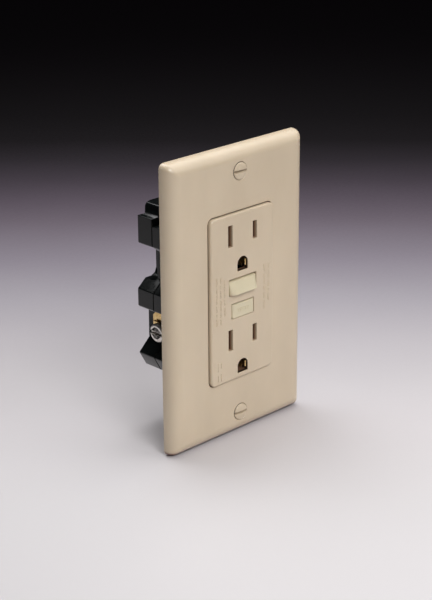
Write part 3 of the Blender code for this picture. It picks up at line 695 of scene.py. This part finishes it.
def plate_sections(steps=12):
    """The plate's outer shape: a straight rim, then a flank that rounds over to the front."""
    sections = []
    for shrink, at in ((0.16, 0.0), (0.0, -0.12), (0.0, -PLATE_RIM)):
        sections.append((rounded(PLATE_W - shrink, PLATE_H - shrink, PLATE_CORNER), at))
    for i in range(1, steps + 1):
        a = pi / 2 * i / steps
        inset = PLATE_BEVEL * (1 - cos(a))
        y = -(PLATE_RIM + (PLATE_DEPTH - PLATE_RIM) * sin(a))
        radius = max(PLATE_CORNER - 0.4 * inset, 0.4)
        sections.append((rounded(PLATE_W - 2 * inset, PLATE_H - 2 * inset, radius), y))
    return sections


def plate_ribs():
    """What stiffens the hollow back: a frame round the opening, cross ribs and two screw bosses."""
    back, root = -1.7, POCKET_FRONT - 0.1
    ribs = []
    for x in (-25.0, 25.0):
        ribs.append(block((x - 0.45, x + 0.45), (root, back), (-38.0, 38.0)))
    for z in (-37.6, 37.6):
        ribs.append(block((-25.4, 25.4), (root, back), (z - 0.45, z + 0.45)))
    for z in (-28.0, -14.0, 0.0, 14.0, 28.0):
        for x in (-1, 1):
            ribs.append(block(sorted((x * 24.8, x * 33.0)), (root, back), (z - 0.4, z + 0.4)))
    for z in (-PLATE_SCREW_Z, PLATE_SCREW_Z):
        ribs.append(turned("Y", (0.0, z), [(4.6, root), (4.5, back - 0.15), (4.35, back)]))
        for x in (-1, 1):
            ribs.append(block(sorted((x * 4.3, x * 33.0)), (root, back - 0.3), (z - 0.4, z + 0.4)))
    return ribs


def wall_plate():
    width, height = FACE_W + 2 * OPENING_GAP, FACE_H + 2 * OPENING_GAP
    pocket = rounded(PLATE_W - 2 * PLATE_SIDE, PLATE_H - 2 * PLATE_SIDE, 1.5, 4)
    cuts = [mouth(lambda e: rounded(width + 2 * e, height + 2 * e, 2.4 + e), -PLATE_DEPTH, 2.0, 0.35)]
    for z in (PLATE_SCREW_Z, -PLATE_SCREW_Z):
        cone = [(3.68, -9.0), (3.68, -PLATE_DEPTH), (3.58, 0.05 - PLATE_DEPTH), (3.5, 0.18 - PLATE_DEPTH)]
        cone += [(HOLE_R, 1.78 - PLATE_DEPTH), (HOLE_R, 1.0)]
        cuts.append(turned("Y", (0.0, z), cone, 48))
    shell = carved(loft("Y", plate_sections()), cut=[prism("Y", pocket, (POCKET_FRONT, 2.0))])
    fine("wall_plate", carved(shell, add=plate_ribs(), cut=cuts), 40.0, PLATE_LOOK)


def oval_head_screw(node, z):
    """A painted oval-head screw with a level slot."""
    rim, crown = -PLATE_DEPTH, 0.7
    profile = [(3.25 * sin(pi / 2 * i / 8), rim - crown * cos(pi / 2 * i / 8)) for i in range(1, 9)]
    profile += [(3.27, rim + 0.08), (SCREW_R - 0.05, rim + 1.68), (SCREW_R - 0.05, rim + 2.6)]
    slot = prism("X", rounded(1.6, 1.0, 0.12, 3, (rim - 0.5, z)), (-5.0, 5.0))
    slot_back = block((-5.0, 5.0), (rim - 2.0, rim - 0.2), (z - 0.5, z + 0.5))
    wide, deep = rim - 1.2, rim - 0.62
    flare = [(wide, z - 0.85), (wide, z + 0.85), (deep, z + 0.5), (deep, z - 0.5)]
    bevelled = prism("X", flare, (-5.0, 5.0))
    head = carved(turned("Y", (0.0, z), profile, 48), cut=[slot, slot_back, bevelled])
    shank = threaded("Y", (0.0, z), SCREW_R, (rim + 2.4, 6.4))
    fine(node, joined(head, shank), 32.0, SCREW_LOOK)


# The face and the two buttons.


def face_sections(steps=6):
    """The raised front of the face, with a small round along its edge."""
    sections = [(rounded(FACE_W, FACE_H, FACE_CORNER), -1.6)]
    for i in range(steps + 1):
        a = pi / 2 * i / steps
        inset = FACE_EDGE * (1 - cos(a))
        outline = rounded(FACE_W - 2 * inset, FACE_H - 2 * inset, FACE_CORNER - inset)
        sections.append((outline, FACE_FRONT + FACE_EDGE * (1 - sin(a))))
    return sections


def blade_slot(left, right, low, high):
    return mouth(lambda e: span_rect((left, right), (low, high), e), FACE_FRONT, FACE_INNER + 1.0, 0.18)


def ground_hole(centre_z):
    return mouth(lambda e: arch(centre_z, GROUND_R + e), FACE_FRONT, FACE_INNER + 1.0, 0.18)


def button_hole(half, low, high):
    return mouth(lambda e: span_rect((-half, half), (low, high), e), FACE_FRONT, FACE_INNER + 1.0, 0.2)


def face_cover():
    flange = prism("Y", rounded(2 * FLANGE_X, 2 * FLANGE_Z, 2.0, 5), FLANGE_Y)
    behind = (FACE_INNER, 3.0)
    cuts = [
        block((-14.6, 14.6), behind, (-POST_Z, POST_Z)),
        block((-POST_X, POST_X), behind, (-31.3, 31.3)),
        block((-19.1, 19.1), (-1.2, 3.0), (-POST_Z + 0.4, POST_Z - 0.4)),
        block((-POST_X, POST_X), (-1.2, 3.0), (-32.9, 32.9)),
        button_hole(*TEST_HOLE),
        button_hole(*RESET_HOLE),
    ]
    for z in BLADES_Z:
        cuts.append(blade_slot(-BLADE_X - 1.2, -BLADE_X + 1.1, z - 4.3, z + 4.2))
        cuts.append(blade_slot(BLADE_X - 1.0, BLADE_X + 1.2, z - 3.7, z + 3.3))
        cuts.append(ground_hole(z - GROUND_DROP))
    for x, z in HOUSING_SCREWS:
        cuts.append(rod("Y", (x, z), 1.4, (-1.6, 3.0), 20))
    fine("face_cover", carved(loft("Y", face_sections()), add=[flange], cut=cuts), 40.0, FACE_LOOK)


def dash(x, z, width, height, front, rise=0.2):
    """A small raised bar with drafted sides, sunk a little into what it stands on."""
    def rectangle(inset):
        w, h = width / 2 - inset, height / 2 - inset
        return [(x - w, z - h), (x + w, z - h), (x + w, z + h), (x - w, z + h)]

    return loft("Y", [(rectangle(-0.02), front + 0.05), (rectangle(0.08), front - rise)])


def face_marks():
    """Rows of plain raised ticks where such a device carries its lettering, but no letters."""
    bars = []
    words = (5, 3, 6, 4, 2, 5, 7, 3, 4, 6)
    tall = (0.95, 0.7, 0.95, 0.85, 0.6)
    columns = (  # X, top, bottom and the word that each column starts with
        (-13.6, 9.9, -11.4, 0),
        (-11.5, 9.9, -10.6, 3),
        (-9.5, 8.4, -9.6, 6),
        (11.5, 9.4, -9.6, 5),
        (13.7, 9.2, -10.2, 1),
    )
    for x, top, bottom, first in columns:
        z, number, letter = top, first, 0
        while z - TICK_STEP * words[number % len(words)] > bottom:
            for _ in range(words[number % len(words)]):
                bars.append(dash(x, z, tall[letter % len(tall)], 0.34, FACE_FRONT))
                z -= TICK_STEP
                letter += 1
            z -= WORD_SPACE
            number += 1
    for x, z, length in ((-13.0, -25.6, 3.6), (-11.4, -25.2, 2.2), (-13.0, -30.2, 2.6), (-11.4, -30.0, 3.2)):
        bars.append(dash(x, z, 0.6, length, FACE_FRONT))
    extra("face_marks", joined(*bars), "ivory_plastic")


def cap_plan(half, back, tip, corner, steps=12):
    """A button's outline in X and Y, square at the back and with its two front corners rounded."""
    plan = [(half, back), (-half, back)]
    for i in range(steps + 1):
        a = pi + pi / 2 * i / steps
        plan.append((-half + corner + corner * cos(a), tip + corner + corner * sin(a)))
    return plan + [(-x, y) for x, y in reversed(plan[2:])]


def test_section(z, tip, side=TEST_SIDE):
    """The test button's outline at one height: level sides that swell out to its front."""
    half = TEST_HOLE[0] - BUTTON_GAP
    outline = [(half, -3.4), (-half, -3.4)]
    for i in range(13):
        a = pi / 2 * i / 12
        outline.append((-half + TEST_SWELL * (1 - cos(a)), side + (tip - side) * sin(a)))
    return outline + [(-x, y) for x, y in reversed(outline[2:])], z


def test_button():
    """A wedge that swells out to its lower edge, with a retaining lip and a stem."""
    half, low, high = TEST_HOLE
    half, low, high = half - BUTTON_GAP, low + BUTTON_GAP, high - BUTTON_GAP
    sections = []
    for up, back in ((0.0, 0.5), (0.04, 0.31), (0.12, 0.15), (0.24, 0.04), (0.4, 0.0)):
        sections.append(test_section(low + up, TEST_TIP + back, min(TEST_SIDE + back, -6.7)))
    for i in range(1, 9):
        z = low + 0.4 + (high - 1.2 - low) * i / 8
        sections.append(test_section(z, TEST_TIP + (TEST_SIDE - TEST_TIP - 0.01) * i / 8))
    sections.append(test_section(high, TEST_SIDE + 1.6, TEST_SIDE + 1.6 + 0.01))
    cap = loft("Z", sections)
    lip = softened(block((-half - 0.9, half + 0.9), (-4.6, -3.2), (low - 0.8, high + 0.8)), 0.15)
    stem = turned("Y", (0.0, TEST_Z), [(1.1, -3.6), (1.1, 12.9), (0.9, 13.1)], 24)
    fine("test_button", joined(cap, lip, stem), 35.0)


def reset_button():
    """A flat cap, a little proud of the face while the device is set, and its rod."""
    half, low, high = RESET_HOLE
    half, low, high = half - BUTTON_GAP, low + BUTTON_GAP, high - BUTTON_GAP
    cap = softened(prism("Z", cap_plan(half, -0.9, RESET_TIP, 0.9, 8), (low, high)), 0.25, 3, 25.0)
    lip = softened(block((-half - 0.9, half + 0.9), (-2.0, -0.9), (low - 0.8, high + 0.8)), 0.15)
    socket = rod("Y", (0.0, RESET_Z), 1.3, (-3.8, 1.0), 24)
    fine("reset_button", carved(cap, add=[lip], cut=[socket]))
    marks = [dash(x, (low + high) / 2, 0.7, 1.5, RESET_TIP) for x in (-2.6, -1.3, 0.0, 1.3, 2.6)]
    extra("reset_marks", joined(*marks), "button_plastic", "reset")
    pin = [(0.9, -3.4), (1.0, -3.3), (1.0, 16.7)]
    pin += [(0.6, 17.1), (0.6, 18.7), (1.0, 19.1), (1.0, 20.7), (0.5, 21.5)]
    fine("reset_rod", turned("Y", (0.0, RESET_Z), pin, 28))


# Screws and springs.


def slotted(bm, cuts, width=0.12):
    return softened(carved(bm, cut=cuts), width, 2, 35.0)


def box_screw(node, z):
    """A pan-head screw with a slot, through the strap's ear."""
    profile = [(1.2, -3.15), (2.2, -3.05), (2.9, -2.8), (3.3, -2.4), (3.4, -1.9), (3.4, -1.5)]
    profile += [(SCREW_R - 0.1, -1.45), (SCREW_R - 0.1, 0.4)]
    head = slotted(turned("Y", (0.0, z), profile), [block((-5.0, 5.0), (-5.0, -2.2), (z - 0.45, z + 0.45))])
    shank = threaded("Y", (0.0, z), SCREW_R, (0.2, 17.4))
    tip = turned("Y", (0.0, z), [(SCREW_R - 0.35, 17.3), (SCREW_R - 0.4, 17.6), (0.7, 18.4)], 28)
    fine(node, joined(head, shank, tip), 32.0)


def ground_screw():
    y, z = 5.0, -44.2
    head = prism("X", circle((y, z), 3.9, 6, pi / 6), (-13.4, -10.7))
    slot = block((-16.0, -12.4), (y - 0.45, y + 0.45), (z - 6.0, z + 6.0))
    shank = threaded("X", (y, z), 1.85, (-10.9, -4.2), 0.35)
    fine("ground_terminal_screw", joined(slotted(head, [slot], 0.25), shank), 32.0)


def housing_screw(number, x, z):
    """A pan head with a cross recess, deep in the rear housing, and its long shank."""
    node = f"housing_screw_{number}"
    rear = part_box(node)[1].y / MM
    seat = rear - 1.0
    profile = [(1.05, seat - 0.3), (1.05, seat - 0.02), (2.2, seat), (2.3, seat + 0.12)]
    profile += [(2.25, seat + 0.55), (1.7, seat + 0.92), (0.8, rear)]
    recess = [
        block((x - 1.3, x + 1.3), (seat + 0.45, rear + 2.0), (z - 0.28, z + 0.28)),
        block((x - 0.28, x + 0.28), (seat + 0.45, rear + 2.0), (z - 1.3, z + 1.3)),
    ]
    head = slotted(turned("Y", (x, z), profile, 32), recess, 0.07)
    shank = turned("Y", (x, z), [(0.7, -1.2), (1.05, -0.6), (1.05, seat - 0.2)], 20)
    fine(node, joined(head, shank), 32.0)


def terminal_screw(node, side):
    """A terminal's binding-head screw with a combination slot."""
    low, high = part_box(node)
    y, z = (low.y + high.y) / 2 / MM, (low.z + high.z) / 2 / MM
    head, top = 18.6, 20.8
    profile = [(1.7, head - 0.3), (1.7, head - 0.02), (3.5, head), (3.7, head + 0.2)]
    profile += [(3.7, top - 0.75), (3.6, top - 0.4), (3.3, top - 0.14), (2.8, top)]
    shape = turned("X", (y, z), [(r, side * x) for r, x in profile], 48)
    deep = sorted((side * (top - 1.1), side * (top + 2.0)))
    cuts = [
        block(deep, (y - 5.0, y + 5.0), (z - 0.6, z + 0.6)),
        block(deep, (y - 0.7, y + 0.7), (z - 2.2, z + 2.2)),
    ]
    shank = threaded("X", (y, z), 2.0, (side * 16.25, side * 18.5), 0.3)
    fine(node, joined(slotted(shape, cuts, 0.14), shank), 32.0)


def springs():
    reset = fine("reset_spring", helix("Y", (0.0, RESET_Z), 1.9, (-0.6, 1.4), 2.5, 0.25))
    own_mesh(reset)
    plunger = fine("plunger_spring", helix("Z", (0.0, COIL_Y), 2.6, (5.6, 12.7), 6, 0.2))
    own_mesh(plunger)


# What keeps the frame's shape, with its edges rounded over.

EDGES = {
    0.25: ("middle_housing", "rear_housing", "contact_carriage", "filter_capacitor", "surge_varistor"),
    0.18: ("mounting_strap", "line_terminal_neutral", "line_terminal_hot", "clamp_plate_load_neutral",
           "clamp_plate_load_hot", "clamp_plate_line_neutral", "clamp_plate_line_hot", "control_chip",
           "trip_thyristor", "mounting_retainer_upper", "mounting_retainer_lower", "solenoid_frame"),
    0.12: ("receptacle_bus_neutral", "receptacle_bus_hot", "ground_rivet_upper", "ground_rivet_lower",
           "fixed_contact_neutral", "fixed_contact_hot", "moving_contact_neutral",
           "moving_contact_hot", "contact_arm_neutral", "contact_arm_hot", "arm_post_neutral",
           "arm_post_hot", "latch_plate", "solenoid_bobbin", "sensor_core_holder", "circuit_board"),
}


def kept_shapes():
    for width, nodes in EDGES.items():
        for node in nodes:
            fine(node, softened(frame_shape(node), width))


def ground_contacts():
    """The clips behind the ground holes, with the bright lips of their arms close under the face."""
    for node, blades_z in zip(("ground_contact_upper", "ground_contact_lower"), BLADES_Z):
        z = blades_z - GROUND_DROP
        arms = [block(sorted((s * 2.38, s * 2.62)), (-6.2, -3.9), (z - 1.3, z + 0.9)) for s in (-1, 1)]
        lips = [rod("Z", (s * 2.28, -6.2), 0.34, (z - 1.4, z + 1.0), 20) for s in (-1, 1)]
        fine(node, joined(softened(frame_shape(node), 0.12), *arms, *lips))


def windings():
    """The trip coil's outer layer of wire over its core, its plunger and the two sensing cores."""
    core = ring("Z", (0.0, COIL_Y), 4.35, 3.2, (15.4, 28.9), 0.2)
    wire = helix("Z", (0.0, COIL_Y), 4.42, (15.4, 28.9), 37, 0.17, 24, 6)
    fine("solenoid_coil", joined(core, wire), 60.0)
    pin = [(1.1, 3.0), (1.2, 3.1), (1.2, 4.35), (2.7, 4.4), (2.8, 4.5)]
    pin += [(2.8, 5.0), (2.7, 5.1), (1.85, 5.15), (1.85, 24.0)]
    fine("solenoid_plunger", turned("Z", (0.0, COIL_Y), pin), 32.0)
    for name, span in (("fault", (16.7, 20.0)), ("neutral", (20.4, 23.7))):
        fine(f"sensor_core_{name}", ring("Y", (0.0, SENSOR_Z), 7.2, 3.8, span, 0.6))


def test_leaf():
    """The test button's contact leaf and its leg, with the long edges cut into short lengths."""
    leg = block((-8.0, -7.2), (LEAF_Y[0], 24.1), LEAF_Z)
    leaf = carved(block((-7.4, 1.8), LEAF_Y, LEAF_Z), add=[leg])
    bmesh.ops.subdivide_edges(leaf, edges=[e for e in leaf.edges if e.calc_length() > 4.0], cuts=8)
    piece = shown("fine_test_contact_leaf", leaf, LOOKS["brass"], "device")
    piece.parent = None
    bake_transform(piece)
    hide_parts("test_contact_leaf")


# The stage: a paper floor painted darker behind the plate as painted fall-off of the light, soft light and the
# camera.


def softbox(name, place, aim, size, spread, power):
    """A square softbox with a grid, whose light fades out to the sides."""
    data = bpy.data.lights.new(name, "AREA")
    data.size = size
    data.spread = radians(spread)
    data.energy = power
    obj = bpy.data.objects.new(name, data)
    obj.location = place
    obj.rotation_mode = "QUATERNION"
    obj.rotation_quaternion = (Vector(aim) - Vector(place)).to_track_quat("-Z", "Y")
    bpy.context.scene.collection.objects.link(obj)


def floor():
    """A pale paper sheet, painted darker far behind the plate as painted fall-off of the light; the plate
    stands on it with its lower edge.
    """
    bm = bmesh.new()
    bmesh.ops.create_grid(bm, x_segments=8, y_segments=8, size=3.0)
    mesh = bpy.data.meshes.new("floor")
    bm.to_mesh(mesh)
    bm.free()
    look = Look("paper_painted_falloff", 0.6)
    across, along, _ = look.axes()
    # Painted fall-off of the light: darker with distance along the diagonal behind the plate.
    back = look.math("MULTIPLY", look.math("ADD", across, along), 0.7071)
    back = look.math("ADD", back, look.math("MULTIPLY", look.noise(0.02, 4.0), PAPER_CLOUDS))
    start, end = PAPER_PAINTED_FALLOFF[0][0], PAPER_PAINTED_FALLOFF[-1][0]
    stops = [((at - start) / (end - start), colour) for at, colour in PAPER_PAINTED_FALLOFF]
    look.colour(look.math("DIVIDE", look.math("SUBTRACT", back, start + PAPER_CLOUDS / 2), end - start), stops)
    look.roughness(look.noise(0.5), 0.5, 0.7)
    mesh.materials.append(look.material)
    obj = bpy.data.objects.new("floor", mesh)
    obj.location = (0.0, 0.0, CAD_BOX[0].z - 0.00005)
    bpy.context.scene.collection.objects.link(obj)


def lights():
    low = CAD_BOX[0].z
    softbox("back_softbox", (0.0, 0.25, 0.50), (0.0, 0.0425, low), 0.40, 110, 0.90)
    softbox("left_softbox", (-0.25, -0.60, 0.50), (-0.05, -0.17, low), 0.35, 110, 1.24)
    softbox("right_softbox", (0.25, 0.0, 0.50), (0.05, -0.02, low), 0.40, 110, 0.52)
    softbox("far_right_softbox", (0.40, -0.60, 0.60), (0.08, -0.17, low), 0.50, 110, 0.65)
    softbox("front_softbox", (-0.10, -0.60, 0.50), (-0.02, -0.17, low), 0.35, 50, 0.14)
    world = bpy.data.worlds.new("studio")
    world.use_nodes = True
    world.node_tree.nodes["Background"].inputs["Color"].default_value = (0.82, 0.60, 0.85, 1.0)
    world.node_tree.nodes["Background"].inputs["Strength"].default_value = 0.012
    bpy.context.scene.world = world
    bpy.context.scene.view_settings.view_transform = "Standard"


def camera():
    """A long lens, from the left of the face and above."""
    azimuth, elevation, roll = radians(-44.1832), radians(21.321), radians(-0.4098)
    back = Vector((sin(azimuth) * cos(elevation), -cos(azimuth) * cos(elevation), sin(elevation)))
    level = Vector((cos(azimuth), sin(azimuth), 0.0))
    rise = back.cross(level)
    right = level * cos(roll) + rise * sin(roll)
    up = rise * cos(roll) - level * sin(roll)
    data = bpy.data.cameras.new("camera")
    data.lens = 97.51
    data.sensor_width = 36.0
    obj = bpy.data.objects.new("camera", data)
    turn = Matrix((right, up, back)).transposed().to_4x4()
    obj.matrix_world = Matrix.Translation((-0.40352, -0.40800, 0.22017)) @ turn
    bpy.context.scene.collection.objects.link(obj)
    bpy.context.scene.camera = obj


def main():
    wall_plate()
    oval_head_screw("wall_plate_screw_upper", PLATE_SCREW_Z)
    oval_head_screw("wall_plate_screw_lower", -PLATE_SCREW_Z)
    face_cover()
    face_marks()
    test_button()
    reset_button()
    box_screw("mounting_screw_upper", MOUNT_SCREW_Z)
    box_screw("mounting_screw_lower", -MOUNT_SCREW_Z)
    ground_screw()
    for number, (x, z) in enumerate(HOUSING_SCREWS, 1):
        housing_screw(number, x, z)
    for pole, side in (("neutral", -1), ("hot", 1)):
        for use in ("load", "line"):
            terminal_screw(f"terminal_screw_{use}_{pole}", side)
    springs()
    ground_contacts()
    windings()
    test_leaf()
    kept_shapes()
    floor()
    lights()
    camera()


main()
